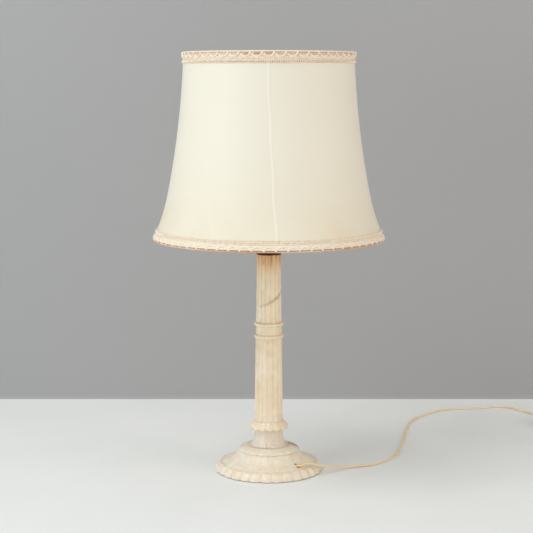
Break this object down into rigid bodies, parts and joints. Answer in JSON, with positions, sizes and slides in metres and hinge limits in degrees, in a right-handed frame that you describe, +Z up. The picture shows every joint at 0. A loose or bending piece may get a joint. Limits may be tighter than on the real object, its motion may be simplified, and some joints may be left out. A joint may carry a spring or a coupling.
{
  "type": "column table lamp",
  "caption": "Table lamp with a fluted stone column on a scalloped round base, a bell-shaped fabric shade edged with braid, and a flex with an inline switch and a plug.",
  "frame": {"origin": "centre of the base on the surface that the lamp stands on", "axes": "+Z up along the column; the front of the picture looks along +Y, with +X to its right"},
  "size_m": [0.7408, 0.5758, 0.6345],
  "materials": {
    "alabaster": "polished stone, warm cream with faint veins",
    "felt": "dark felt",
    "zinc_steel": "zinc plated",
    "black_steel": "black lacquer, a little rusted",
    "holder_moulding": "dark moulded resin",
    "ceramic": "glazed ceramic",
    "brass": "plain brass",
    "bulb_glass": "pearl glass",
    "bulb_cap": "bright cap",
    "black_glass": "black vitrite",
    "solder": "solder",
    "white_wire": "white coating",
    "shade_silk": "cream silk, smooth",
    "shade_lining": "matt cream lining",
    "braid": "cream and gold braid",
    "flex": "cream twin flex",
    "fitting_moulding": "cream moulding"
  },
  "bodies": {
    "lamp": {"felt_pad": "felt", "plinth": "alabaster", "base_tier": "alabaster", "neck": "alabaster", "collar": "alabaster", "lower_shaft": "alabaster", "ring_drum": "alabaster", "upper_shaft": "alabaster", "stem_tube": "zinc_steel", "clamp_washer": "zinc_steel", "clamp_nut": "zinc_steel", "top_cap": "black_steel", "holder_foot": "holder_moulding", "holder_shell": "holder_moulding", "holder_insert": "ceramic", "holder_sleeve": "brass", "holder_contact": "brass", "terminal_screws": "brass", "shade_ring_lower": "holder_moulding", "flex_inside": "flex", "flex_free": "flex", "flex_to_coil": "flex", "flex_coil": "flex", "flex_to_plug": "flex", "switch_base": "fitting_moulding", "switch_cover": "fitting_moulding", "plug_body": "fitting_moulding", "plug_pins": "brass"},
    "shade": {"shade_carrier": "white_wire", "frame_bottom_ring": "white_wire", "frame_top_ring": "white_wire", "shade_cover": "shade_silk", "shade_lining": "shade_lining", "top_braid": "braid", "bottom_braid": "braid"},
    "clamp_ring": {"shade_ring_upper": "holder_moulding"},
    "bulb_lift": {"bulb_insulator": "black_glass", "bulb_button": "solder"},
    "bulb": {"bulb_glass": "bulb_glass", "bulb_cap": "bulb_cap"},
    "rocker": {"switch_rocker": "fitting_moulding"}
  },
  "joints": [
    {"name": "shade_turn", "type": "hinge", "parent": "lamp", "child": "shade", "pos_m": [0, 0, 0.364], "axis": [0, 0, 1], "continuous": true},
    {"name": "clamp_ring_turn", "type": "hinge", "parent": "lamp", "child": "clamp_ring", "pos_m": [0, 0, 0.368], "axis": [0, 0, 1], "range_deg": [0, 360]},
    {"name": "bulb_rise", "type": "slide", "parent": "lamp", "child": "bulb_lift", "axis": [0, 0, 1], "range_m": [0, 0.01088]},
    {"name": "bulb_turn", "type": "hinge", "parent": "bulb_lift", "child": "bulb", "pos_m": [0, 0, 0.376], "axis": [0, 0, 1], "range_deg": [0, 1080]},
    {"name": "rocker_tilt", "type": "hinge", "parent": "lamp", "child": "rocker", "pos_m": [0.485, 0.259, 0.013], "axis": [-1, 0, 0], "range_deg": [0, 16]}
  ],
  "couplings": [
    {"joint": "bulb_turn", "follows": "bulb_rise", "rad_per_m": 1731.4}
  ]
}
